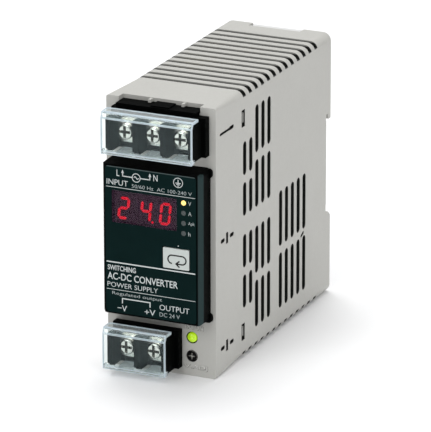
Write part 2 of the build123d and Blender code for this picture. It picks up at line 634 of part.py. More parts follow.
with BuildPart() as rail_slider:
    bar((SLIDER_GAP - CHANNEL, CHANNEL - SLIDER_GAP), slider_y, (0.4, RAIL_LOW + 0.1))
    bar(
        (SLIDER_GAP - 11.2, 11.2 - SLIDER_GAP),
        (slider_y[0], REAR - 2.2 - SLIDER_GAP),
        (0.4, RAIL_LOW - 2.0),
    )
    # Hook that holds the rail's lower flange, with a snap-in slope
    with BuildSketch(facing_right(SLIDER_GAP - CHANNEL)):
        with BuildLine():
            Polyline(
                (REAR - RAIL_FLOOR + RAIL_FLANGE_GAP, RAIL_LOW),
                (REAR - 0.4, RAIL_LOW),
                (REAR - RAIL_FLOOR + RAIL_FLANGE_GAP + 1.3, RAIL_LOW + 2.9),
                (REAR - RAIL_FLOOR + RAIL_FLANGE_GAP, RAIL_LOW + 2.9),
                close=True,
            )
        make_face()
    extrude(amount=2 * (CHANNEL - SLIDER_GAP))
    # Window for the spring and the case's peg, then a slot for a screwdriver tip
    bar((-3.6, 3.6), (slider_y[0] - 1, REAR + 1), (6.7, 24.0), Mode.SUBTRACT)
    bar((-3.2, 3.2), (REAR - 2.2, REAR + 1), (1.8, 4.8), Mode.SUBTRACT)
finish(rail_slider.part, "rail_slider")

with BuildPart() as slider_spring:
    # Compression spring between the case's peg and the top of the slider's window
    wire_r = 0.3
    coil_r = 1.3
    turns = 8
    spring_low = 8.7 + wire_r
    spring_high = 23.9 - wire_r
    coil = Helix(
        pitch=(spring_high - spring_low) / turns,
        height=spring_high - spring_low,
        radius=coil_r,
        center=(0, REAR - 2.1, spring_low),
    )
    with BuildSketch(Plane(origin=coil @ 0, z_dir=coil % 0)):
        Circle(wire_r)
    sweep(path=coil, is_frenet=True)
finish(slider_spring.part, "slider_spring")

# ---------------------------------------------------------------- main board and its components
COMPONENT = BOARD_X                 # components stand on this plane and reach to the right
BOARD_Y = (FACE + 10.0, CAVITY_REAR - 1.0)
BOARD_Z = (3.2, HEIGHT - 4.2)

with BuildPart() as main_board:
    bar((BOARD_X - BOARD_T, BOARD_X), BOARD_Y, BOARD_Z)
    # Notches for the side cover's arms
    notch_y = (LATCH_Y - 1.8, LATCH_Y + 1.8)
    for z in LATCH_Z:
        bar((BOARD_X - 3, BOARD_X + 1), notch_y, (z - 2.7, z + 2.7), Mode.SUBTRACT)
finish(main_board.part, "main_board")

with BuildPart() as fuse:
    fuse_z = 76.0
    rod_y(COMPONENT + 3.4, fuse_z, 2.4, (FACE + 13.0, FACE + 29.0))
    for y in (FACE + 12.0, FACE + 25.0):
        rod_y(COMPONENT + 3.4, fuse_z, 2.7, (y, y + 5.0))
    for y in (FACE + 14.0, FACE + 28.0):
        bar((COMPONENT, COMPONENT + 1.4), (y - 0.4, y + 0.4), (fuse_z - 0.4, fuse_z + 0.4))
finish(fuse.part, "fuse")


with BuildPart() as filter_capacitor:
    bar((COMPONENT, COMPONENT + 13.0), (FACE + 33.5, FACE + 51.0), (81.5, 89.5))
    fillet(filter_capacitor.edges().filter_by(Axis.X), 0.8)
finish(filter_capacitor.part, "filter_capacitor")

with BuildPart() as line_choke_core:
    # Rectangular ferrite ring
    choke_y = (FACE + 54.0, FACE + 73.0)
    choke_z = (78.0, 90.0)
    bar((COMPONENT + 2.0, COMPONENT + 18.0), choke_y, choke_z)
    bar(
        (COMPONENT + 5.2, COMPONENT + 14.8),
        (choke_y[0] + 4, choke_y[1] - 4),
        (choke_z[0] - 1, choke_z[1] + 1),
        Mode.SUBTRACT,
    )
finish(line_choke_core.part, "line_choke_core")

with BuildPart() as line_choke_windings:
    # Two coils, one round each long limb of the ring
    for x in (COMPONENT + 3.6, COMPONENT + 16.4):
        coil_y = (choke_y[0] + 4.4, choke_y[1] - 4.4)
        bar((x - 2.4, x + 2.4), coil_y, (choke_z[0] - 0.9, choke_z[1] + 0.9))
        bar(
            (x - 1.7, x + 1.7),
            (coil_y[0] - 1, coil_y[1] + 1),
            (choke_z[0] - 0.1, choke_z[1] + 0.1),
            Mode.SUBTRACT,
        )
finish(line_choke_windings.part, "line_choke_windings")

with BuildPart() as bridge_rectifier:
    bar((COMPONENT + 2.0, COMPONENT + 14.0), (FACE + 77.0, FACE + 80.6), (76.0, 90.0))
    for z in (78.0, 81.4, 84.8, 88.2):
        bar((COMPONENT, COMPONENT + 2.0), (FACE + 78.4, FACE + 79.2), (z - 0.5, z + 0.5))
finish(bridge_rectifier.part, "bridge_rectifier")

with BuildPart() as bulk_capacitor:
    rod_x(FACE + 72.0, 61.0, 11.0, (COMPONENT, COMPONENT + 29.0))
    fillet(bulk_capacitor.edges().group_by(Axis.X)[-1], 1.0)
    # Rolled crimp near the board end
    rod_x(FACE + 72.0, 61.0, 12.0, (COMPONENT + 3.2, COMPONENT + 4.4), Mode.SUBTRACT)
    rod_x(FACE + 72.0, 61.0, 10.4, (COMPONENT + 3.1, COMPONENT + 4.5))
finish(bulk_capacitor.part, "bulk_capacitor")

TRANSFORMER_Y = FACE + 36.0
TRANSFORMER_Z = 45.0
with BuildPart() as transformer_core:
    # Ferrite frame with a round centre leg
    core_y = (TRANSFORMER_Y - 5.5, TRANSFORMER_Y + 5.5)
    bar((COMPONENT + 3.0, COMPONENT + 27.0), core_y, (TRANSFORMER_Z - 14, TRANSFORMER_Z + 14))
    bar(
        (COMPONENT + 6.5, COMPONENT + 23.5),
        (core_y[0] - 1, core_y[1] + 1),
        (TRANSFORMER_Z - 10.5, TRANSFORMER_Z + 10.5),
        Mode.SUBTRACT,
    )
    rod_x(TRANSFORMER_Y, TRANSFORMER_Z, 4.6, (COMPONENT + 6.0, COMPONENT + 24.0))
finish(transformer_core.part, "transformer_core")

with BuildPart() as transformer_bobbin:
    # Spool round the centre leg, with two flanges
    for x in (COMPONENT + 6.7, COMPONENT + 22.1):
        rod_x(TRANSFORMER_Y, TRANSFORMER_Z, 10.0, (x, x + 1.2))
    rod_x(TRANSFORMER_Y, TRANSFORMER_Z, 5.6, (COMPONENT + 6.7, COMPONENT + 23.3))
    rod_x(TRANSFORMER_Y, TRANSFORMER_Z, 4.8, (COMPONENT + 6.0, COMPONENT + 24.0), Mode.SUBTRACT)
finish(transformer_bobbin.part, "transformer_bobbin")

with BuildPart() as transformer_winding:
    rod_x(TRANSFORMER_Y, TRANSFORMER_Z, 9.3, (COMPONENT + 8.0, COMPONENT + 22.0))
    rod_x(TRANSFORMER_Y, TRANSFORMER_Z, 5.65, (COMPONENT + 7.0, COMPONENT + 23.0), Mode.SUBTRACT)
finish(transformer_winding.part, "transformer_winding")


def heatsink(y, z, fins):
    """Upright aluminium plate with fins on its rear side."""
    bar((COMPONENT + 1.0, COMPONENT + 25.0), (y, y + 2.0), z)
    span = z[1] - z[0] - 1.4
    for i in range(fins):
        low = z[0] + span * i / (fins - 1)
        bar((COMPONENT + 1.0, COMPONENT + 25.0), (y + 2.0, y + 6.0), (low, low + 1.4))
    bar((COMPONENT, COMPONENT + 1.0), (y + 0.4, y + 1.6), (z[0] + 2.0, z[0] + 4.0))
    bar((COMPONENT, COMPONENT + 1.0), (y + 0.4, y + 1.6), (z[1] - 4.0, z[1] - 2.0))
    rod_y(COMPONENT + 17.0, sum(z) / 2, 1.6, (y - 1, y + 2), Mode.SUBTRACT)


def power_device(y, z):
    """Flat three-leg power device that stands against a heatsink whose face is at y."""
    bar((COMPONENT + 4.0, COMPONENT + 13.0), (y - 4.4, y), (z - 5.0, z + 5.0))
    bar((COMPONENT + 13.0, COMPONENT + 19.5), (y - 1.3, y), (z - 5.0, z + 5.0))
    for leg in (-2.5, 0, 2.5):
        bar((COMPONENT, COMPONENT + 4.0), (y - 2.6, y - 2.0), (z + leg - 0.4, z + leg + 0.4))
    rod_y(COMPONENT + 17.0, z, 1.6, (y - 2, y + 1), Mode.SUBTRACT)


def device_screw(y, z):
    """Screw that clamps a power device to its heatsink."""
    rod_y(COMPONENT + 17.0, z, 2.4, (y - 3.1, y - 1.3))
    rod_y(COMPONENT + 17.0, z, 1.5, (y - 1.3, y + 3.6))


SWITCHER = (FACE + 54.0, (52.0, 72.0))
OUTPUT_DEVICE = (FACE + 55.0, (22.0, 42.0))
for name, (y, z), fins in (("primary_heatsink", SWITCHER, 2), ("secondary_heatsink", OUTPUT_DEVICE, 4)):
    with BuildPart() as sink:
        heatsink(y, z, fins)
    finish(sink.part, name)
for name, (y, z) in (("switching_transistor", SWITCHER), ("output_rectifier", OUTPUT_DEVICE)):
    with BuildPart() as device:
        power_device(y, sum(z) / 2)
    finish(device.part, name)
with BuildPart() as heatsink_screws:
    for y, z in (SWITCHER, OUTPUT_DEVICE):
        device_screw(y, sum(z) / 2)
finish(heatsink_screws.part, "heatsink_screws")

for index, (y, z) in enumerate(((FACE + 21.0, 22.0), (FACE + 33.0, 22.0))):
    with BuildPart() as can:
        rod_x(y, z, 5.0, (COMPONENT, COMPONENT + 20.0))
        fillet(can.edges().group_by(Axis.X)[-1], 0.6)
        rod_x(y, z, 6.0, (COMPONENT + 2.0, COMPONENT + 2.8), Mode.SUBTRACT)
        rod_x(y, z, 4.6, (COMPONENT + 1.9, COMPONENT + 2.9))
    finish(can.part, f"output_capacitor_{index + 1}")

with BuildPart() as output_choke_core:
    rod_x(FACE + 76.0, 19.0, 7.0, (COMPONENT + 1.5, COMPONENT + 9.5))
    rod_x(FACE + 76.0, 19.0, 3.6, (COMPONENT, COMPONENT + 11.0), Mode.SUBTRACT)
finish(output_choke_core.part, "output_choke_core")

with BuildPart() as output_choke_winding:
    # Turns round the ring, each a small closed loop
    ring_mid = 5.3
    for angle in range(0, 300, 25):
        loop_plane = Plane(
            origin=Vector(COMPONENT + 5.5, FACE + 76.0, 19.0) + Vector(0, ring_mid, 0).rotate(Axis.X, angle),
            x_dir=(1, 0, 0),
            z_dir=Vector(0, 0, 1).rotate(Axis.X, angle),
        )
        with BuildSketch(loop_plane):
            RectangleRounded(10.2, 5.6, 1.2)
            RectangleRounded(8.4, 3.8, 0.6, mode=Mode.SUBTRACT)
        extrude(amount=0.45, both=True)
finish(output_choke_winding.part, "output_choke_winding")

with BuildPart() as control_chip:
    bar((COMPONENT, COMPONENT + 2.0), (FACE + 44.0, FACE + 49.0), (12.0, 21.5))
finish(control_chip.part, "control_chip")

with BuildPart() as isolators:
    for z in (68.0, 75.0):
        bar((COMPONENT, COMPONENT + 3.4), (FACE + 36.0, FACE + 42.4), (z - 2.4, z + 2.4))
finish(isolators.part, "isolators")

with BuildPart() as display_connector:
    # Board to board pins, through the opening behind the panel
    bar((-8.0, 8.0), (DISPLAY_BOARD_Y + 1.4, FACE + 6.0), (31.0, 34.0))
finish(display_connector.part, "display_connector")

with BuildPart() as meter_board:
    bar((COMPONENT, 10.0), (FACE + 6.0, FACE + 7.4), (27.0, 60.0))
finish(meter_board.part, "meter_board")

print(len(made), "pieces")
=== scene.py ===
"""Looks for the DIN rail power supply: materials, printed legends, lit digits, lights and camera."""
import json
import math

import bmesh
import bpy
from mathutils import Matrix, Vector


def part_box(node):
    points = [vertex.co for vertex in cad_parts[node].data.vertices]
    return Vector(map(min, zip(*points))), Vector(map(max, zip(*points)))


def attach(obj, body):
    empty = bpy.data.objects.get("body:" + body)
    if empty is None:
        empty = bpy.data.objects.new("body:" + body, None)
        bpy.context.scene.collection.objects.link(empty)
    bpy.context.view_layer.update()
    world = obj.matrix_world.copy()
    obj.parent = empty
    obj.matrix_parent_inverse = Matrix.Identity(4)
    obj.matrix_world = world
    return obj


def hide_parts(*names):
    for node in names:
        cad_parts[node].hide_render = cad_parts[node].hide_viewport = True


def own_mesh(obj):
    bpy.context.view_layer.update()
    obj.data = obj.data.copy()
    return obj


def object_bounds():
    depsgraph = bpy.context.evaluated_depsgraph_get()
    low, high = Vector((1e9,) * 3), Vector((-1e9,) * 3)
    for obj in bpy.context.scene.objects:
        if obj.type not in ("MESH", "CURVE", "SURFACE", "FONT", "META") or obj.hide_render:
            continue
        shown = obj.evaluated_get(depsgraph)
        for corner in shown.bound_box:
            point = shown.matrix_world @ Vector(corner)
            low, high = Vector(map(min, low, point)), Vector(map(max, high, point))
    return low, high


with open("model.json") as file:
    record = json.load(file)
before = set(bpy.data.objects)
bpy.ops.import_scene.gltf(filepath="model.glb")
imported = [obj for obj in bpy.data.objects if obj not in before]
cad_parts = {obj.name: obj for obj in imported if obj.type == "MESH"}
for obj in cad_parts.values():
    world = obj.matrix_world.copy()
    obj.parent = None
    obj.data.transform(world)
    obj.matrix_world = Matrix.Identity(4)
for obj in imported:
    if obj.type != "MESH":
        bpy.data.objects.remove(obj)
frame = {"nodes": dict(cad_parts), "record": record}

cad_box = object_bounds()
NODES = frame["nodes"]
SLOT_OF = {row["node"]: row["material_slot"] for row in frame["record"]["subparts"]}
MM = 0.001


def middle(node):
    """(x, z) of a CAD node's middle, in millimetres."""
    low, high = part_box(node)
    centre = (low + high) / 2 / MM
    return centre.x, centre.z


# ---------------------------------------------------------------- material nodes
class Finish:
    """One node material: a Principled shader with procedural colour, roughness and bump."""

    def __init__(self, name, **values):
        self.material = bpy.data.materials.new(name)
        self.material.use_nodes = True
        tree = self.material.node_tree
        self.nodes, self.links = tree.nodes, tree.links
        self.nodes.clear()
        self.shader = self.nodes.new("ShaderNodeBsdfPrincipled")
        output = self.nodes.new("ShaderNodeOutputMaterial")
        self.links.new(self.shader.outputs["BSDF"], output.inputs["Surface"])
        self.place = self.nodes.new("ShaderNodeTexCoord").outputs["Object"]
        for key, value in values.items():
            self.shader.inputs[key.replace("_", " ")].default_value = value

    def scaled(self, size, stretch=(1, 1, 1)):
        """Object coordinates in units of size millimetres, longer along an axis with more stretch."""
        mapping = self.nodes.new("ShaderNodeMapping")
        mapping.inputs["Scale"].default_value = [1 / (size * MM * k) for k in stretch]
        self.links.new(self.place, mapping.inputs["Vector"])
        return mapping.outputs["Vector"]

    def noise(self, size, detail=3.0, stretch=(1, 1, 1)):
        node = self.nodes.new("ShaderNodeTexNoise")
        node.inputs["Scale"].default_value = 1.0
        node.inputs["Detail"].default_value = detail
        self.links.new(self.scaled(size, stretch), node.inputs["Vector"])
        return node.outputs["Fac"]

    def cells(self, size, stretch=(1, 1, 1)):
        node = self.nodes.new("ShaderNodeTexVoronoi")
        node.inputs["Scale"].default_value = 1.0
        self.links.new(self.scaled(size, stretch), node.inputs["Vector"])
        return node.outputs["Distance"]

    def bands(self, size, axis, distortion=0.0):
        """Parallel ridges, one every size millimetres along axis."""
        node = self.nodes.new("ShaderNodeTexWave")
        node.bands_direction = axis
        node.inputs["Scale"].default_value = math.pi / 10
        node.inputs["Distortion"].default_value = distortion
        self.links.new(self.scaled(size), node.inputs["Vector"])
        return node.outputs["Fac"]

    def along(self, axis):
        split = self.nodes.new("ShaderNodeSeparateXYZ")
        self.links.new(self.place, split.inputs["Vector"])
        return split.outputs[axis]

    def span(self, source, low, high, out_low=0.0, out_high=1.0):
        """Maps source from low..high to out_low..out_high, held at both ends."""
        node = self.nodes.new("ShaderNodeMapRange")
        self.links.new(source, node.inputs["Value"])
        limits = {"From Min": low, "From Max": high, "To Min": out_low, "To Max": out_high}
        for key, value in limits.items():
            node.inputs[key].default_value = value
        return node.outputs["Result"]

    def below(self, source, low, high):
        """1 where source is under low and 0 over high."""
        return self.span(source, low, high, 1.0, 0.0)

    def math(self, operation, first, second=None):
        """A sum on numbers or sockets. second is left out where the operation takes one value."""
        node = self.nodes.new("ShaderNodeMath")
        node.operation = operation
        for socket, value in zip(node.inputs, (first, second)):
            if value is None:
                continue
            if isinstance(value, (int, float)):
                socket.default_value = value
            else:
                self.links.new(value, socket)
        return node.outputs["Value"]

    def both(self, first, second):
        """The area that two masks share."""
        return self.math("MULTIPLY", first, second)

    def either(self, first, second):
        """The area that two masks cover between them."""
        return self.math("MAXIMUM", first, second)

    def radius(self, across, up):
        """Distance from an axis, from the offsets along two others."""
        squares = self.math("MULTIPLY", across, across), self.math("MULTIPLY", up, up)
        return self.math("SQRT", self.math("ADD", *squares))

    def inside(self, axis, low, high, fade=0.5 * MM):
        """Mask of the places whose coordinate lies well inside low..high, in metres."""
        return self.inside_of(self.along(axis), low, high, fade)

    def inside_of(self, source, low, high, fade):
        """The same for any source value."""
        return self.math("MINIMUM", self.span(source, low, low + fade), self.below(source, high - fade, high))

    def mix(self, share, first, second):
        """Colour between first and second, each a colour or a socket."""
        node = self.nodes.new("ShaderNodeMix")
        node.data_type = "RGBA"
        self.links.new(share, node.inputs["Factor"])
        for socket, value in ((node.inputs[6], first), (node.inputs[7], second)):
            if isinstance(value, tuple):
                socket.default_value = (*value, 1.0)
            else:
                self.links.new(value, socket)
        return node.outputs[2]

    def bump(self, height, depth, below=None):
        """Bump of depth millimetres, on top of the bump below."""
        node = self.nodes.new("ShaderNodeBump")
        node.inputs["Distance"].default_value = depth * MM
        self.links.new(height, node.inputs["Height"])
        if below is not None:
            self.links.new(below, node.inputs["Normal"])
        return node.outputs["Normal"]

    def set(self, **sockets):
        for key, source in sockets.items():
            self.links.new(source, self.shader.inputs[key.replace("_", " ")])
        return self

    def paint_over(self, mask, colour):
        """Lays colour over the base colour made so far, where mask is 1."""
        under = self.shader.inputs["Base Color"].links[0].from_socket
        return self.set(Base_Color=self.mix(mask, under, colour))


def shade(colour, factor):
    return tuple(min(1.0, c * factor) for c in colour)


def moulded(name, colour, rough, spread=0.05, grain=0.22, depth=0.012, cloud=14.0, gloss=0.4):
    """Moulded plastic: fine spark-eroded grain, faint flow clouds and uneven gloss."""
    f = Finish(name, Specular_IOR_Level=gloss)
    clouds = f.noise(cloud, 4.0)
    specks = f.noise(grain * 2.2, 2.0)
    base = f.mix(f.span(clouds, 0.3, 0.7), shade(colour, 1 - spread), shade(colour, 1 + spread))
    f.set(
        Base_Color=f.mix(f.span(specks, 0.35, 0.65, 0.0, 0.3), base, shade(colour, 1 - 2.2 * spread)),
        Roughness=f.span(f.noise(grain * 5, 3.0), 0.25, 0.75, rough - 0.06, rough + 0.08),
        Normal=f.bump(f.noise(grain, 2.0), depth, f.bump(clouds, 0.05)),
    )
    return f


CASE_GREY = (0.475, 0.472, 0.445)
BLACK = (0.0012, 0.0015, 0.0015)
PAINTED_SHADE_BLACK = (0.006, 0.007, 0.006)
SLOT_PITCH = 5.0 * MM    # between the slots across the top and the underside
SLOT_FIRST = 23.35 * MM  # middle of the first slot, behind the case's front face
SLOT_HALF = 1.14 * MM
SHARP = 0.15 * MM        # fade at the edge of a crisp mask


def case_plastic(name, reach_right):
    """Light grey moulding, with painted shade in near black where only the inside shows.

    The paint goes by position in main_case's box: inner faces, and the walls of vents, slots and the two
    round holes. reach_right carries it on to the right side's outer skin, for the walls of the vents there.
    The side cover goes without, because the ends of its latch arms lie flush in that side's windows.
    """
    f = moulded(name, CASE_GREY, 0.5, 0.018, 0.28, 0.016)
    low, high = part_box("main_case")
    y, z = f.along("Y"), f.along("Z")
    skin = 0.04 * MM

    def block(front, left, right, ends, fade):
        """Inside of a box that stands this far in from the case's sides."""
        sides = f.both(
            f.inside("X", low.x + left, high.x - right, fade),
            f.inside("Z", low.z + ends, high.z - ends, fade),
        )
        return f.both(sides, f.inside("Y", low.y + front, high.y - 6.0 * MM, fade))

    # Painted shade on the inner faces, which show only the dark inside
    inner = f.either(
        block(3.6 * MM, 0.9 * MM, 0.9 * MM, 0.9 * MM, 0.5 * MM),
        block(3.2 * MM, skin, skin if reach_right else 1.2 * MM, 3.2 * MM, SHARP),
    )

    # Painted shade in the slots across the top and the underside, which turn over the long edges
    phase = f.math("SUBTRACT", y, low.y + SLOT_FIRST - SLOT_PITCH / 2)
    phase = f.math("FLOORED_MODULO", phase, SLOT_PITCH)
    band = f.math("LESS_THAN", f.math("ABSOLUTE", f.math("SUBTRACT", phase, SLOT_PITCH / 2)), SLOT_HALF)
    top = f.math(
        "MINIMUM",
        f.span(z, high.z - 2.4 * MM, high.z - 2.2 * MM),
        f.below(z, high.z - 0.75 * MM, high.z - 0.1 * MM),
    )
    underside = f.inside("Z", low.z + 0.12 * MM, low.z + 2.4 * MM, SHARP)
    slotted = f.inside("Y", low.y + 21 * MM, high.y - 11.5 * MM)
    dark = f.both(band, f.both(f.either(underside, top), slotted))

    # The front part of each latch arm's end, as if in the shadow of its window
    if not reach_right:
        arms = f.both(
            f.inside("X", high.x - 1.6 * MM, high.x - 0.1 * MM, SHARP),
            f.below(y, low.y + 22.55 * MM, low.y + 22.75 * MM),
        )
        dark = f.either(dark, arms)

    # Walls of the lamp's hole and the adjuster's. The mask has no rear limit, so it also paints two round
    # spots on the rear wall: a known fault.
    # Painted shade on the walls of the lamp's hole and the adjuster's
    for node in ("output_lamp", "trimmer_rotor"):
        hole_x, hole_z = middle(node)
        out = f.radius(f.math("SUBTRACT", f.along("X"), hole_x * MM), f.math("SUBTRACT", z, hole_z * MM))
        wall = f.both(f.below(out, 2.13 * MM, 2.2 * MM), f.span(y, low.y + 0.03 * MM, low.y + 0.12 * MM))
        dark = f.either(dark, wall)
    f.paint_over(f.either(inner, dark), PAINTED_SHADE_BLACK)
    return f


def bezel_plastic():
    """Black moulding of the display panel, with a painted grey-green sheen down the bevel on its right side
    and a painted highlight along its top edge.
    """
    f = moulded("bezel_plastic", BLACK, 0.45, 0.12, 0.25, 0.006, gloss=0.015)
    low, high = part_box("display_bezel")
    x, y, z = f.along("X"), f.along("Y"), f.along("Z")
    # Painted sheen on the bevel down the right side
    bevel = f.both(
        f.span(x, high.x - 2.4 * MM, high.x - 2.1 * MM),
        f.both(
            f.below(x, high.x - 0.95 * MM, high.x - 0.8 * MM),
            f.below(y, low.y + 1.6 * MM, low.y + 2.0 * MM),
        ),
    )
    # Painted highlight along the top front edge
    top_edge_highlight = f.both(
        f.span(z, high.z - 0.45 * MM, high.z - 0.3 * MM),
        f.below(y, low.y + 0.5 * MM, low.y + 0.7 * MM),
    )
    f.paint_over(top_edge_highlight, (0.045, 0.06, 0.06))
    f.paint_over(bevel, (0.028, 0.046, 0.047))
    return f


def metal(name, colour, rough, scratch_axis=(1, 1, 8), depth=0.004, tarnish=0.1):
    """Plated or drawn metal: fine scratches one way, small pits and uneven tarnish."""
    f = Finish(name, Metallic=1.0)
    scratches = f.noise(0.09, 3.0, scratch_axis)
    stain = f.noise(1.6, 4.0)
    f.set(
        Base_Color=f.mix(f.span(stain, 0.35, 0.7), colour, shade(colour, 1 - tarnish)),
        Roughness=f.span(scratches, 0.3, 0.7, rough - 0.05, rough + 0.08),
        Normal=f.bump(scratches, depth, f.bump(f.noise(0.7, 2.0), depth * 1.5)),
    )
    return f


def screw_plating():
    """Nickel: bright head, with painted shade inside the cross recess and under the head.

    The screws stand at one pitch in two rows that mirror each other, so one mask fits them all.
    """
    f = metal("screw_plating", (0.86, 0.84, 0.79), 0.16, (1, 1, 8), 0.005, 0.12)
    low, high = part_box("live_screw")
    y = f.along("Y")
    radius = (high.z - low.z) / 2
    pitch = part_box("neutral_screw")[0].x - low.x
    mirror = (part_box("minus_screw")[0].z + high.z) / 2
    across = f.math("SUBTRACT", f.along("X"), (low.x + high.x) / 2 - pitch / 2)
    across = f.math("SUBTRACT", f.math("FLOORED_MODULO", across, pitch), pitch / 2)
    up = f.math("ABSOLUTE", f.math("SUBTRACT", f.along("Z"), mirror))
    up = f.math("SUBTRACT", up, high.z - radius - mirror)
    recess = f.both(
        f.below(f.radius(across, up), radius - 0.9 * MM, radius - 0.75 * MM),
        f.span(y, low.y + 0.15 * MM, low.y + 0.6 * MM),
    )
    under = f.span(y, low.y + 1.7 * MM, low.y + 2.2 * MM)
    # Painted shade in the cross recess and under the head
    f.paint_over(f.either(recess, under), (0.05, 0.045, 0.035))
    return f


def clear_moulding(node):
    """Clear cover: pale frosted lines painted along its edges as highlights, foot and teeth pale and frosted,
    faint moulding waves and hairline wear.
    """
    f = Finish("clear_" + node, IOR=1.35, Specular_IOR_Level=0.3, Specular_Tint=(0.78, 0.97, 1.0, 1.0))
    low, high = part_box(node)
    x, y, z = f.along("X"), f.along("Y"), f.along("Z")

    def near(source, value, half):
        """Line of half a width, in millimetres, about a value in metres."""
        return f.inside_of(source, value - half * MM, value + half * MM, 0.12 * MM)

    plate = f.below(y, low.y + 1.2 * MM, low.y + 1.5 * MM)
    roof = f.span(z, high.z - 1.2 * MM, high.z - 1.0 * MM)
    foot = f.below(z, low.z + 0.95 * MM, low.z + 1.1 * MM)
    shoulder = f.both(near(z, high.z - 2.3 * MM, 0.2), plate)
    brow = f.both(near(z, high.z, 0.35), f.below(y, low.y + 1.5 * MM, low.y + 1.8 * MM))
    back = f.both(roof, near(y, low.y + 5.6 * MM, 0.35))
    ends = f.both(f.either(near(x, low.x, 0.4), near(x, high.x, 0.4)), f.either(plate, roof))
    foot_lines = f.both(f.either(near(z, low.z, 0.3), near(z, low.z + 1.0 * MM, 0.2)), plate)
    # Painted highlights: pale frosted lines along the cover's edges
    rim_highlights = f.either(f.either(shoulder, brow), f.either(back, ends))
    rim_highlights = f.either(rim_highlights, foot_lines)
    top_haze = f.span(z, high.z - 1.2 * MM, high.z - 0.2 * MM, 0.0, 0.2)
    teeth = f.both(foot, f.span(y, low.y + 2.4 * MM, low.y + 2.8 * MM))
    foot_haze = f.both(foot, f.span(teeth, 0.0, 1.0, 0.15, 0.45))
    frost_and_rim_highlights = f.either(rim_highlights, f.either(top_haze, foot_haze))
    waves = f.noise(5.0, 2.0, (1.0, 1.0, 2.5))
    hairlines = f.noise(0.12, 2.0, (14, 1, 2))
    clear = f.mix(f.span(waves, 0.3, 0.7), (0.84, 0.9, 0.89), (0.89, 0.94, 0.93))
    f.set(
        Base_Color=f.mix(frost_and_rim_highlights, clear, (0.55, 0.64, 0.7)),
        Transmission_Weight=f.span(frost_and_rim_highlights, 0.0, 1.0, 1.0, 0.12),
        Roughness=f.math(
            "ADD", f.span(hairlines, 0.55, 0.8, 0.02, 0.14), f.math("MULTIPLY", frost_and_rim_highlights, 0.15)
        ),
        Normal=f.bump(waves, 0.03),
    )
    return f


def smoked_pane():
    """Smoked window: see-through dark red film with faint dust and soft wear."""
    f = Finish("smoked_window", Alpha=0.42, Specular_IOR_Level=0.2)
    dust = f.noise(0.5, 3.0)
    clouds = f.span(f.noise(6.0, 2.0), 0.3, 0.7)
    f.set(
        Base_Color=f.mix(clouds, (0.029, 0.009, 0.025), (0.037, 0.011, 0.031)),
        Roughness=f.span(dust, 0.4, 0.75, 0.12, 0.28),
        Normal=f.bump(f.noise(1.1, 2.0), 0.002),
    )
    return f


def lens(name, colour, glow, strength, rough=0.22):
    """Moulded lens: brighter towards its middle in small clouds, with a glossy skin."""
    f = Finish(name, Coat_Weight=0.5, Coat_Roughness=0.08, Emission_Strength=strength)
    facets = f.cells(0.55)
    f.set(
        Base_Color=f.mix(f.span(facets, 0.0, 0.7), shade(colour, 1.15), shade(colour, 0.8)),
        Emission_Color=f.mix(f.span(facets, 0.0, 0.8), shade(glow, 1.1), shade(glow, 0.75)),
        Roughness=f.span(f.noise(0.3, 2.0), 0.3, 0.7, rough - 0.06, rough + 0.06),
        Normal=f.bump(facets, 0.02),
    )
    return f


def laminate():
    """Circuit board: green lacquer over copper tracks, with a weave of glass fibre under it."""
    f = Finish("circuit_board", Coat_Weight=0.3, Coat_Roughness=0.2)
    brick = f.nodes.new("ShaderNodeTexBrick")
    brick.inputs["Scale"].default_value = 1.0
    brick.inputs["Mortar Size"].default_value = 0.08
    f.links.new(f.scaled(3.0, (1.0, 1.0, 0.6)), brick.inputs["Vector"])
    weave = f.math("MULTIPLY", f.bands(0.35, "Z"), f.bands(0.35, "Y"))
    lacquer = f.mix(weave, (0.012, 0.09, 0.04), (0.02, 0.13, 0.055))
    f.set(
        Base_Color=f.mix(brick.outputs["Fac"], lacquer, (0.06, 0.24, 0.09)),
        Roughness=f.span(f.noise(1.5), 0.3, 0.7, 0.28, 0.42),
        Normal=f.bump(brick.outputs["Fac"], 0.035, f.bump(weave, 0.01)),
    )
    return f


def glass_fuse():
    """Fuse: glass in the middle, with a plated cap at each end."""
    low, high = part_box("fuse")
    cap_length = 5 * MM
    f = Finish("glass_tube", IOR=1.5)
    y = f.along("Y")
    cap = f.either(
        f.math("LESS_THAN", y, low.y + cap_length),
        f.math("GREATER_THAN", y, high.y - cap_length),
    )
    f.set(
        Base_Color=f.mix(cap, (0.75, 0.82, 0.8), (0.8, 0.78, 0.72)),
        Metallic=cap,
        Roughness=f.span(f.noise(0.8), 0.3, 0.7, 0.06, 0.24),
        Normal=f.bump(f.noise(0.6), 0.006),
    )
    return f


def wound(name, colour, wire, axis, rough=0.3):
    """Enamelled wire or tape in turns side by side."""
    f = Finish(name, Coat_Weight=0.4, Coat_Roughness=0.15)
    turns = f.bands(wire, axis, 0.15)
    f.set(
        Base_Color=f.mix(turns, shade(colour, 0.45), shade(colour, 1.1)),
        Roughness=f.span(f.noise(0.8), 0.3, 0.7, rough - 0.05, rough + 0.1),
        Normal=f.bump(turns, wire * 0.35),
    )
    return f


def sleeved():
    """Capacitor: dark shrink sleeve with a pale stripe, bare aluminium at its far end."""
    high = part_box("bulk_capacitor")[1]
    f = Finish("capacitor_sleeve")
    metal_end = f.math("GREATER_THAN", f.along("X"), high.x - 0.6 * MM)
    stripe = f.math("GREATER_THAN", f.along("Z"), high.z - 2.2 * MM)
    sleeve = f.mix(stripe, (0.012, 0.016, 0.03), (0.3, 0.32, 0.36))
    f.set(
        Base_Color=f.mix(metal_end, sleeve, (0.72, 0.73, 0.74)),
        Metallic=metal_end,
        Roughness=f.span(f.noise(2.0), 0.3, 0.7, 0.22, 0.4),
        Normal=f.bump(f.noise(1.4), 0.02),
    )
    return f


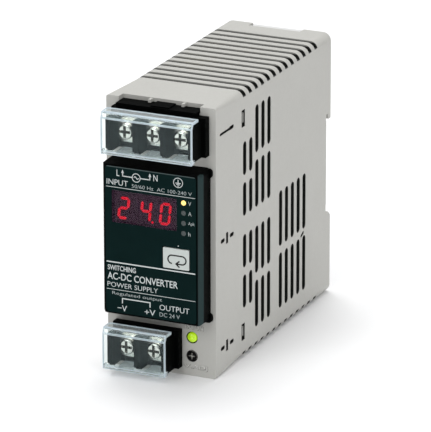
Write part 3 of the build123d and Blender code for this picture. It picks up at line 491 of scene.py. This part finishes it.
def sintered():
    """Ferrite: dark and dull with sparse bright specks."""
    f = Finish("ferrite", Specular_IOR_Level=0.4)
    specks = f.span(f.cells(0.5), 0.0, 0.12, 1.0, 0.0)
    f.set(
        Base_Color=f.mix(specks, (0.03, 0.03, 0.033), (0.12, 0.12, 0.125)),
        Roughness=f.span(f.noise(1.0), 0.3, 0.7, 0.5, 0.7),
        Normal=f.bump(f.noise(0.3), 0.03),
    )
    return f


def panel_skin():
    """Printed panel skin: deep green-black, satin, with fine orange peel and a painted highlight as a pale
    line along its top.
    """
    f = Finish("printed_sheet", Specular_IOR_Level=0.03)
    clouds = f.noise(9.0, 3.0)
    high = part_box("front_sheet")[1]
    # Painted highlight along the top edge
    rim = f.span(f.along("Z"), high.z - 0.3 * MM, high.z - 0.2 * MM)
    green = f.mix(f.span(clouds, 0.3, 0.7), (0.0014, 0.0098, 0.0096), (0.0024, 0.0128, 0.0126))
    f.set(
        Base_Color=f.mix(rim, green, (0.07, 0.095, 0.095)),
        Roughness=f.span(f.noise(0.9, 3.0), 0.3, 0.7, 0.3, 0.42),
        Normal=f.bump(f.noise(0.45, 2.0), 0.006),
    )
    return f


def ink(name, colour):
    """Screen-printed ink: matte, slightly uneven cover."""
    f = Finish(name, Specular_IOR_Level=0.3)
    cover = f.noise(0.35, 3.0)
    f.set(
        Base_Color=f.mix(f.span(cover, 0.3, 0.7), shade(colour, 0.86), colour),
        Roughness=f.span(f.noise(0.2), 0.3, 0.7, 0.5, 0.7),
        Normal=f.bump(cover, 0.006),
    )
    return f


def rotor_plastic():
    """Adjuster: black face, with a painted grey highlight on the floor of its cross slot."""
    f = moulded("rotor_plastic", (0.004, 0.004, 0.004), 0.4, 0.1, 0.2, 0.006, gloss=0.05)
    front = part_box("trimmer_rotor")[0].y
    # Painted highlight on the floor of the cross slot
    slot_floor_highlight = f.inside("Y", front + 0.5 * MM, front + 1.2 * MM, 0.1 * MM)
    f.paint_over(slot_floor_highlight, (0.6, 0.6, 0.56))
    return f


FINISHES = {
    "case_plastic": case_plastic("case_plastic", True),
    "black_plastic": moulded("black_plastic", BLACK, 0.5, 0.12, 0.25, 0.006, gloss=0.015),
    "printed_sheet": panel_skin(),
    "smoked_window": smoked_pane(),
    "dark_plastic": moulded("dark_plastic", (0.03, 0.03, 0.032), 0.45, 0.1),
    "grey_plastic": moulded("grey_plastic", (0.52, 0.56, 0.54), 0.4, 0.02, 0.2, 0.006),
    "circuit_board": laminate(),
    "clear_plastic": clear_moulding("input_cover"),
    "plated_metal": metal("plated_metal", (0.83, 0.81, 0.75), 0.2),
    "green_lens": lens("green_lens", (0.45, 0.7, 0.02), (0.42, 0.72, 0.01), 0.45),
    "amber_lens": lens("amber_lens", (0.95, 0.7, 0.2), (1.0, 0.66, 0.16), 1.0),
    "clear_lens": lens("clear_lens", (0.018, 0.032, 0.032), (0.0, 0.0, 0.0), 0.0),
    "spring_steel": metal("spring_steel", (0.6, 0.6, 0.6), 0.28),
    "glass_tube": glass_fuse(),
    "white_plastic": moulded("white_plastic", (0.66, 0.665, 0.66), 0.42, 0.02, 0.25, 0.008),
    "yellow_plastic": moulded("yellow_plastic", (0.72, 0.5, 0.06), 0.35, 0.05),
    "ferrite": sintered(),
    "copper_wire": wound("copper_wire", (0.6, 0.24, 0.08), 0.6, "Z"),
    "bobbin_plastic": moulded("bobbin_plastic", (0.08, 0.07, 0.06), 0.45, 0.08),
    "winding_tape": wound("winding_tape", (0.72, 0.58, 0.08), 3.0, "X", 0.35),
    "heatsink_aluminium": metal("heatsink_aluminium", (0.68, 0.69, 0.7), 0.38, (1, 14, 1), 0.008, 0.14),
    "capacitor_sleeve": sleeved(),
}
SCREWS = [f"{terminal}_screw" for terminal in ("live", "neutral", "earth", "minus", "plus")]


def dress(finish, *nodes):
    """Puts a finish on CAD nodes."""
    for node in nodes:
        NODES[node].material_slots[0].material = finish.material


for node, slot in SLOT_OF.items():
    dress(FINISHES[slot], node)
dress(bezel_plastic(), "display_bezel")
dress(screw_plating(), *SCREWS)
dress(rotor_plastic(), "trimmer_rotor")
dress(clear_moulding("output_cover"), "output_cover")
dress(case_plastic("side_cover_plastic", False), "side_cover")


# ---------------------------------------------------------------- rounded edges on CAD nodes
def soften(node, width, angle=30, segments=2):
    """Rounds a CAD node's edges by modifiers, which leave its own mesh as it is."""
    obj = NODES[node]
    weld = obj.modifiers.new("weld", "WELD")
    weld.merge_threshold = 0.001 * MM
    flats = obj.modifiers.new("flats", "DECIMATE")
    flats.decimate_type = "DISSOLVE"
    flats.angle_limit = math.radians(0.6)
    bevel = obj.modifiers.new("bevel", "BEVEL")
    bevel.width = width * MM
    bevel.segments = segments
    bevel.limit_method = "ANGLE"
    bevel.angle_limit = math.radians(angle)
    bevel.harden_normals = True
    bevel.use_clamp_overlap = True


SOFT_EDGES = {
    "main_case": 0.16,
    "side_cover": 0.15,
    "display_bezel": 0.3,
    "input_terminal_block": 0.18,
    "output_terminal_block": 0.18,
    "input_cover": 0.16,
    "output_cover": 0.16,
    "rail_slider": 0.2,
    "mode_button": 0.12,
}
for node, width in SOFT_EDGES.items():
    soften(node, width)
for node in ("input_cover", "output_cover", "display_window"):
    NODES[node].visible_shadow = False


# ---------------------------------------------------------------- printed and raised marks
class Marks:
    """Flat shapes on a plane that faces forwards, gathered into one thin mesh. Sizes in millimetres."""

    def __init__(self):
        self.mesh = bmesh.new()

    def face(self, points):
        corners = [self.mesh.verts.new((x * MM, 0, z * MM)) for x, z in points]
        return self.mesh.faces.new(corners)

    def stroke(self, points, width, closed=False):
        """A line of even width with mitred corners."""
        points = [Vector(p) for p in points]
        count = len(points)
        sides = []
        for i, point in enumerate(points):
            before = points[i - 1] if closed or i > 0 else None
            after = points[(i + 1) % count] if closed or i < count - 1 else None
            runs = [(b - a).normalized() for a, b in ((before, point), (point, after)) if a and b]
            across = sum((Vector((-r.y, r.x)) for r in runs), Vector((0, 0))).normalized()
            reach = width / 2 / max(0.35, across.dot(Vector((-runs[0].y, runs[0].x))))
            sides.append((point - across * reach, point + across * reach))
        last = count if closed else count - 1
        for i in range(last):
            (a, b), (c, d) = sides[i], sides[(i + 1) % count]
            self.face((a, c, d, b))

    def ring(self, x, z, radius, width, steps=40):
        turn = [2 * math.pi * i / steps for i in range(steps)]
        self.stroke([(x + radius * math.cos(t), z + radius * math.sin(t)) for t in turn], width, True)

    def dot(self, x, z, radius, steps=20):
        turn = [2 * math.pi * i / steps for i in range(steps)]
        self.face([(x + radius * math.cos(t), z + radius * math.sin(t)) for t in turn])

    def words(self, text, x, z, weight=0.0):
        """Lettering that fills x and z, each (low, high)."""
        curve = bpy.data.curves.new("words", "FONT")
        curve.body = text
        curve.offset = weight
        curve.resolution_u = 4
        holder = bpy.data.objects.new("words", curve)
        bpy.context.scene.collection.objects.link(holder)
        bpy.context.view_layer.update()
        graph = bpy.context.evaluated_depsgraph_get()
        flat = bpy.data.meshes.new_from_object(holder.evaluated_get(graph))
        spots = [v.co.copy() for v in flat.vertices]
        low = [min(s[k] for s in spots) for k in (0, 1)]
        size = [max(s[k] for s in spots) - low[k] for k in (0, 1)]
        for vertex, spot in zip(flat.vertices, spots):
            vertex.co = (
                (x[0] + (spot.x - low[0]) / size[0] * (x[1] - x[0])) * MM,
                0,
                (z[0] + (spot.y - low[1]) / size[1] * (z[1] - z[0])) * MM,
            )
        self.mesh.from_mesh(flat)
        bpy.data.objects.remove(holder)
        bpy.data.meshes.remove(flat)
        bpy.data.curves.remove(curve)

    def place(self, name, plane, thick, body, slot, finish):
        """Makes the marks a piece on the plane at y, in metres, and thick millimetres proud of it."""
        bmesh.ops.remove_doubles(self.mesh, verts=self.mesh.verts, dist=1e-7)
        faces = list(self.mesh.faces)
        made = bmesh.ops.extrude_face_region(self.mesh, geom=faces)["geom"]
        front = {v for v in made if isinstance(v, bmesh.types.BMVert)}
        for vertex in self.mesh.verts:
            vertex.co.y = plane - thick * MM if vertex in front else plane + 0.01 * MM
        bmesh.ops.recalc_face_normals(self.mesh, faces=self.mesh.faces)
        mesh = bpy.data.meshes.new(name)
        self.mesh.to_mesh(mesh)
        self.mesh.free()
        piece = bpy.data.objects.new(name, mesh)
        bpy.context.scene.collection.objects.link(piece)
        mesh.materials.append(finish.material)
        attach(piece, body)
        return piece


white_ink = ink("white_ink", (0.62, 0.66, 0.66))
fine_ink = ink("fine_ink", (0.43, 0.48, 0.48))
black_ink = ink("black_ink", (0.006, 0.006, 0.006))
sheet_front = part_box("front_sheet")[0].y

# Places on the panel in millimetres: x across from the middle of the unit, z up from its foot
PRINT = 0.015           # ink thickness
LINE_X = (-16.7, 15.9)  # ends of the ruled lines
FINE, BOLD = 0.18, 0.42  # widths of a ruled line
LEAD = 0.32             # width of the input's circuit lines
LEAD_X = (-10.55, -0.55)
LEAD_Z = 69.95
SOURCE_X, SOURCE_R = -5.55, 1.45
EARTH_X, EARTH_Z = 9.75, 70.35
LABEL_Z = (69.75, 71.95)

def rule(marks, z, width):
    """A ruled line right across the panel."""
    marks.stroke([(LINE_X[0], z), (LINE_X[1], z)], width)


supply = Marks()
supply.words("L", (-12.75, -11.75), LABEL_Z)
supply.words("N", (0.75, 2.25), LABEL_Z)
supply.words("INPUT", (-16.45, -8.6), (66.5, 68.4), 0.001)
for x in LEAD_X:
    supply.stroke([(x, LEAD_Z - 0.1), (x, LEAD_Z + 1.25)], LEAD)
    supply.face([(x - 0.5, LEAD_Z + 1.05), (x + 0.5, LEAD_Z + 1.05), (x, LEAD_Z + 2.25)])
supply.stroke([(LEAD_X[0] - 0.15, LEAD_Z), (SOURCE_X - SOURCE_R, LEAD_Z)], LEAD)
supply.stroke([(SOURCE_X + SOURCE_R, LEAD_Z), (LEAD_X[1] + 0.15, LEAD_Z)], LEAD)
supply.ring(SOURCE_X, LEAD_Z, SOURCE_R, 0.25)
wave = [i / 16 - 0.5 for i in range(17)]
supply.stroke([(SOURCE_X + 1.7 * t, LEAD_Z + 0.42 * math.sin(-2 * math.pi * t)) for t in wave], 0.26)
supply.ring(EARTH_X, EARTH_Z, 1.65, 0.22)
supply.stroke([(EARTH_X, EARTH_Z + 1.1), (EARTH_X, EARTH_Z - 0.05)], 0.28)
for drop, half in ((0.15, 0.95), (0.63, 0.6), (1.11, 0.25)):
    supply.stroke([(EARTH_X - half, EARTH_Z - drop), (EARTH_X + half, EARTH_Z - drop)], 0.26)
rule(supply, 65.7, FINE)
rating = Marks()
rating.words("50/60 Hz  AC 100-240 V", (-7.2, 14.7), (66.35, 67.6), -0.006)
for indicator, (text, right) in enumerate((("V", 14.5), ("A", 14.6), ("Apk", 15.7), ("h", 14.2)), 1):
    z = middle(f"indicator_{indicator}")[1]
    rating.words(text, (13.4, right), (z - 0.7, z + 0.7))
rating.words("Regulated output", (-14.7, 3.7), (27.45, 28.9), -0.004)
rating.words("DC 24 V", (2.75, 10.2), (22.45, 23.9), -0.004)
rating.place("rating_legends", sheet_front, PRINT, "case", "printed_sheet", fine_ink)
supply.place("input_legends", sheet_front, PRINT, "case", "printed_sheet", white_ink)

meter = Marks()
meter.dot(9.75, 48.25, 0.2)
rule(meter, 39.25, BOLD)
meter.place("meter_legends", sheet_front, PRINT, "case", "printed_sheet", white_ink)

title = Marks()
title.words("SWITCHING", (-16.3, -5.9), (36.35, 38.2), 0.02)
title.words("AC-DC CONVERTER", (-16.4, 9.5), (33.1, 35.6), 0.012)
title.words("POWER SUPPLY", (-16.45, 2.2), (30.45, 32.15), -0.004)
rule(title, 29.6, FINE)
title.place("title_legends", sheet_front, PRINT, "case", "printed_sheet", white_ink)

load = Marks()
tap_x, tap_z = (-10.95, -0.75), (25.0, 26.75)
tap = [(tap_x[0], tap_z[0]), (tap_x[0], tap_z[1]), (tap_x[1], tap_z[1]), (tap_x[1], tap_z[0])]
load.stroke(tap, 0.36)
load.words("−V", (-12.75, -9.3), (22.2, 24.3))
load.words("+V", (-2.75, 1.2), (22.2, 24.3))
load.words("OUTPUT", (2.75, 13.7), (24.75, 26.7), 0.001)
load.place("output_legends", sheet_front, PRINT, "case", "printed_sheet", white_ink)

# Loop with an arrow head on the button
loop = Marks()
centre_x, centre_z = 9.3, 43.35
reach, bend = 1.85, 1.45  # middle of the loop to the middles of its ends, and the ends' radius
turns = [math.pi / 2 + math.pi * i / 14 for i in range(15)]
left_arc = [(centre_x - reach + bend * math.cos(t), centre_z + bend * math.sin(t)) for t in turns]
right_arc = [(centre_x + reach - bend * math.cos(t), centre_z + bend * math.sin(t)) for t in turns]
tip = (centre_x - 0.35, centre_z - bend)
loop.stroke([*reversed(left_arc), *right_arc, (tip[0] + 0.1, tip[1])], 0.5)
loop.stroke([(tip[0] + 1.25, tip[1] + 1.1), tip, (tip[0] + 1.25, tip[1] - 1.1)], 0.5)
loop.place("button_mark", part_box("mode_button")[0].y, PRINT, "button", "grey_plastic", black_ink)

# Raised words on the case beside the lamp and the adjuster, painted lighter than the case as a highlight,
# over a thin dark copy set off from them that is a painted shadow along their edges
case_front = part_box("main_case")[0].y
for name, colour, shift, thick in (
    ("raised_words", (0.6, 0.597, 0.57), 0.0, 0.2),
    ("raised_words_painted_shadow", (0.2, 0.2, 0.185), 0.15, 0.05),
):
    raised = Marks()
    raised.words("DC ON", (8.7 + shift, 15.4 + shift), (16.6 - shift, 18.2 - shift), 0.01)
    raised.words("V.ADJ", (8.3 + shift, 16.9 + shift), (2.3 - shift, 4.1 - shift), 0.01)
    plastic = moulded(name, colour, 0.5, 0.02, 0.28, 0.01)
    raised.place(name, case_front, thick, "case", "case_plastic", plastic)


# ---------------------------------------------------------------- lit digits
def segment_shapes(width, height, bar):
    """Outlines of the seven strokes of a digit, from a to g, about its lower left corner."""
    half = bar / 2
    gap = 0.12
    shapes = {}
    for name, z in (("a", height - half), ("g", height / 2), ("d", half)):
        x0, x1 = half + gap, width - half - gap
        shapes[name] = [
            (x0, z), (x0 + half, z - half), (x1 - half, z - half),
            (x1, z), (x1 - half, z + half), (x0 + half, z + half),
        ]
    for name, x, z0, z1 in (
        ("f", half, height / 2, height - half),
        ("b", width - half, height / 2, height - half),
        ("e", half, half, height / 2),
        ("c", width - half, half, height / 2),
    ):
        z0, z1 = z0 + gap, z1 - gap
        shapes[name] = [
            (x, z0), (x + half, z0 + half), (x + half, z1 - half),
            (x, z1), (x - half, z1 - half), (x - half, z0 + half),
        ]
    return shapes


DIGIT_SIZE = (4.1, 7.9)
DIGIT_BAR = 0.95
DIGIT_LEFT = (-13.45, -5.3, 1.8)
DIGIT_LOW = 54.25
SLANT = 0.11            # sideways lean for each millimetre of height
SEGMENTS = {"2": "abged", "4": "fgbc", "0": "abcdef"}
lit, unlit = Marks(), Marks()
for left, digit in zip(DIGIT_LEFT, "240"):
    for name, outline in segment_shapes(*DIGIT_SIZE, DIGIT_BAR).items():
        marks = lit if name in SEGMENTS[digit] else unlit
        marks.face([(left + x + SLANT * z, DIGIT_LOW + z) for x, z in outline])
lit.dot(-0.45, DIGIT_LOW + 0.35, 0.42)
module_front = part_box("digit_module")[0].y
red_glow = lens("red_segment", (0.75, 0.004, 0.012), (1.0, 0.0, 0.012), 1.7)
dark_segment = lens("dark_segment", (0.03, 0.012, 0.022), (0.0, 0.0, 0.0), 0.0)
lit.place("lit_segments", module_front, 0.1, "case", "dark_plastic", red_glow)
unlit.place("unlit_segments", module_front, 0.06, "case", "dark_plastic", dark_segment)


# ---------------------------------------------------------------- lamp lens
def turned(name, profile, x, z, steps=48):
    """A piece turned about an axis that runs front to back. profile is (radius, y) in millimetres."""
    shape = bmesh.new()
    rings = []
    for radius, y in profile:
        if radius == 0:
            rings.append([shape.verts.new((x * MM, y * MM, z * MM))])
            continue
        turn = [2 * math.pi * i / steps for i in range(steps)]
        rings.append([
            shape.verts.new(((x + radius * math.cos(t)) * MM, y * MM, (z + radius * math.sin(t)) * MM))
            for t in turn
        ])
    for inner, outer in zip(rings, rings[1:]):
        for i in range(steps):
            j = (i + 1) % steps
            near = inner[i % len(inner)], outer[i % len(outer)]
            far = outer[j % len(outer)], inner[j % len(inner)]
            corners = dict.fromkeys((*near, *far))  # a pole counts once
            shape.faces.new(list(corners))
    bmesh.ops.recalc_face_normals(shape, faces=shape.faces)
    mesh = bpy.data.meshes.new(name)
    shape.to_mesh(mesh)
    shape.free()
    for polygon in mesh.polygons:
        polygon.use_smooth = True
    piece = bpy.data.objects.new(name, mesh)
    bpy.context.scene.collection.objects.link(piece)
    return piece


LENS_R, LENS_DOME, LENS_DEPTH = 1.75, 1.2, 5.0
lamp_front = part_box("output_lamp")[0].y / MM
lift = [math.radians(10 * i) for i in range(1, 10)]
dome = [(LENS_R * math.sin(a), lamp_front + LENS_DOME * (1 - math.cos(a))) for a in lift]
lens_back = lamp_front + LENS_DEPTH
profile = [(0, lamp_front), *dome, (LENS_R, lens_back), (0, lens_back)]
lamp = turned("lamp_lens", profile, *middle("output_lamp"))
lamp.data.materials.append(FINISHES["green_lens"].material)
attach(lamp, "case")
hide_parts("output_lamp")


# ---------------------------------------------------------------- rail slider's spring
def coil(name, centre, low, high, radius, wire, turns, closed=1.0, steps=28, sides=10):
    """Compression spring along Z with closed end turns. wire is the wire's radius. Sizes in millimetres."""
    shape = bmesh.new()
    shut = closed * wire * 2.05
    open_pitch = (high - low - 2 * wire - 2 * shut) / (turns - 2 * closed)
    rings = []
    for i in range(int(turns * steps) + 1):
        turn = i / steps
        z = low + wire + min(turn, closed) / closed * shut
        z += max(0.0, min(turn, turns - closed) - closed) * open_pitch
        z += max(0.0, turn - (turns - closed)) / closed * shut
        angle = 2 * math.pi * turn
        out = Vector((math.cos(angle), math.sin(angle), 0))
        middle = Vector((centre[0], centre[1], z)) + out * radius
        ring = []
        for k in range(sides):
            around = 2 * math.pi * k / sides
            spot = middle + out * wire * math.cos(around) + Vector((0, 0, wire * math.sin(around)))
            ring.append(shape.verts.new(spot * MM))
        rings.append(ring)
    for first, second in zip(rings, rings[1:]):
        for k in range(sides):
            n = (k + 1) % sides
            shape.faces.new((first[k], first[n], second[n], second[k]))
    shape.faces.new(rings[0])
    shape.faces.new(rings[-1])
    bmesh.ops.recalc_face_normals(shape, faces=shape.faces)
    mesh = bpy.data.meshes.new(name)
    shape.to_mesh(mesh)
    shape.free()
    for polygon in mesh.polygons:
        polygon.use_smooth = len(polygon.vertices) == 4
    piece = bpy.data.objects.new(name, mesh)
    bpy.context.scene.collection.objects.link(piece)
    return piece


spring_low, spring_high = (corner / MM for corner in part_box("slider_spring"))
spring_middle = ((spring_low.x + spring_high.x) / 2, (spring_low.y + spring_high.y) / 2)
spring = coil("release_spring", spring_middle, spring_low.z, spring_high.z, radius=1.3, wire=0.3, turns=8)
spring.data.materials.append(FINISHES["spring_steel"].material)
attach(spring, "case")
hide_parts("slider_spring")
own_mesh(spring)


# ---------------------------------------------------------------- floor, lights and camera
def make_floor():
    """Wide pale floor that turns up far behind the object."""
    shape = bmesh.new()
    half_width, flat, cove, top = 4.0, 3.0, 1.5, 4.0
    turn = [math.radians(9 * i) for i in range(1, 11)]
    profile = [(-flat, 0.0), (flat, 0.0)]
    profile += [(flat + cove * math.sin(a), cove - cove * math.cos(a)) for a in turn]
    profile.append((flat + cove, top))
    sides = [[shape.verts.new((x, y, z)) for y, z in profile] for x in (-half_width, half_width)]
    for i in range(len(profile) - 1):
        shape.faces.new((sides[0][i], sides[1][i], sides[1][i + 1], sides[0][i + 1]))
    mesh = bpy.data.meshes.new("floor")
    shape.to_mesh(mesh)
    shape.free()
    floor = bpy.data.objects.new("floor", mesh)
    floor.location.z = cad_box[0][2]
    bpy.context.scene.collection.objects.link(floor)
    f = Finish("floor_paper", Specular_IOR_Level=0.1)
    f.set(
        Base_Color=f.mix(f.span(f.noise(60.0), 0.3, 0.7), (0.93, 0.932, 0.938), (0.945, 0.948, 0.955)),
        Roughness=f.span(f.noise(4.0), 0.3, 0.7, 0.75, 0.85),
    )
    mesh.materials.append(f.material)


def softbox(name, place, size, power, target=(0.0, 0.0, 0.045)):
    """Square light at place, turned to the middle of the object. size in metres, power in watts."""
    light = bpy.data.lights.new(name, "AREA")
    light.shape = "RECTANGLE"
    light.size = light.size_y = size
    light.energy = power
    holder = bpy.data.objects.new(name, light)
    holder.location = place
    holder.rotation_euler = (Vector(target) - holder.location).to_track_quat("-Z", "Y").to_euler()
    bpy.context.scene.collection.objects.link(holder)


def make_world(overhead, horizon):
    """White surroundings: strength overhead at the top, falling to horizon at eye level."""
    world = bpy.data.worlds.new("studio")
    world.use_nodes = True
    nodes, links = world.node_tree.nodes, world.node_tree.links
    split = nodes.new("ShaderNodeSeparateXYZ")
    links.new(nodes.new("ShaderNodeTexCoord").outputs["Generated"], split.inputs["Vector"])
    height = nodes.new("ShaderNodeMapRange")
    height.interpolation_type = "SMOOTHSTEP"
    links.new(split.outputs["Z"], height.inputs["Value"])
    limits = {"From Min": 0.05, "From Max": 0.8, "To Min": horizon, "To Max": overhead}
    for key, value in limits.items():
        height.inputs[key].default_value = value
    links.new(height.outputs["Result"], nodes["Background"].inputs["Strength"])
    nodes["Background"].inputs["Color"].default_value = (1.0, 1.0, 1.0, 1.0)
    bpy.context.scene.world = world


def make_camera():
    """Long lens from the front right, a little above."""
    azimuth, elevation, roll = math.radians(24.56), math.radians(18.83), math.radians(-0.07)
    distance = 1.6412
    away = Vector((
        math.sin(azimuth) * math.cos(elevation),
        -math.cos(azimuth) * math.cos(elevation),
        math.sin(elevation),
    ))
    camera = bpy.data.objects.new("camera", bpy.data.cameras.new("camera"))
    bpy.context.scene.collection.objects.link(camera)
    target = Vector((-1.45, 3.83, 40.4)) * MM
    camera.location = target + away * distance
    aim = (-away).to_track_quat("-Z", "Y").to_matrix()
    across, up = aim.col[0].copy(), aim.col[1].copy()
    aim.col[0] = across * math.cos(roll) + up * math.sin(roll)
    aim.col[1] = up * math.cos(roll) - across * math.sin(roll)
    camera.rotation_euler = aim.to_euler()
    camera.data.lens = 399.3
    camera.data.sensor_width = 36
    camera.data.clip_start = 0.05
    camera.data.clip_end = 30
    bpy.context.scene.camera = camera


make_floor()
make_world(overhead=0.8, horizon=0.17)
softbox("key", place=(-0.25, -1.1, 0.8), size=0.7, power=4.9)
softbox("top", place=(-0.22, 0.42, 1.35), size=0.7, power=9.2)
softbox("side", place=(1.35, -0.5, 0.5), size=0.5, power=4.5)
make_camera()
bpy.context.scene.view_settings.view_transform = "Standard"
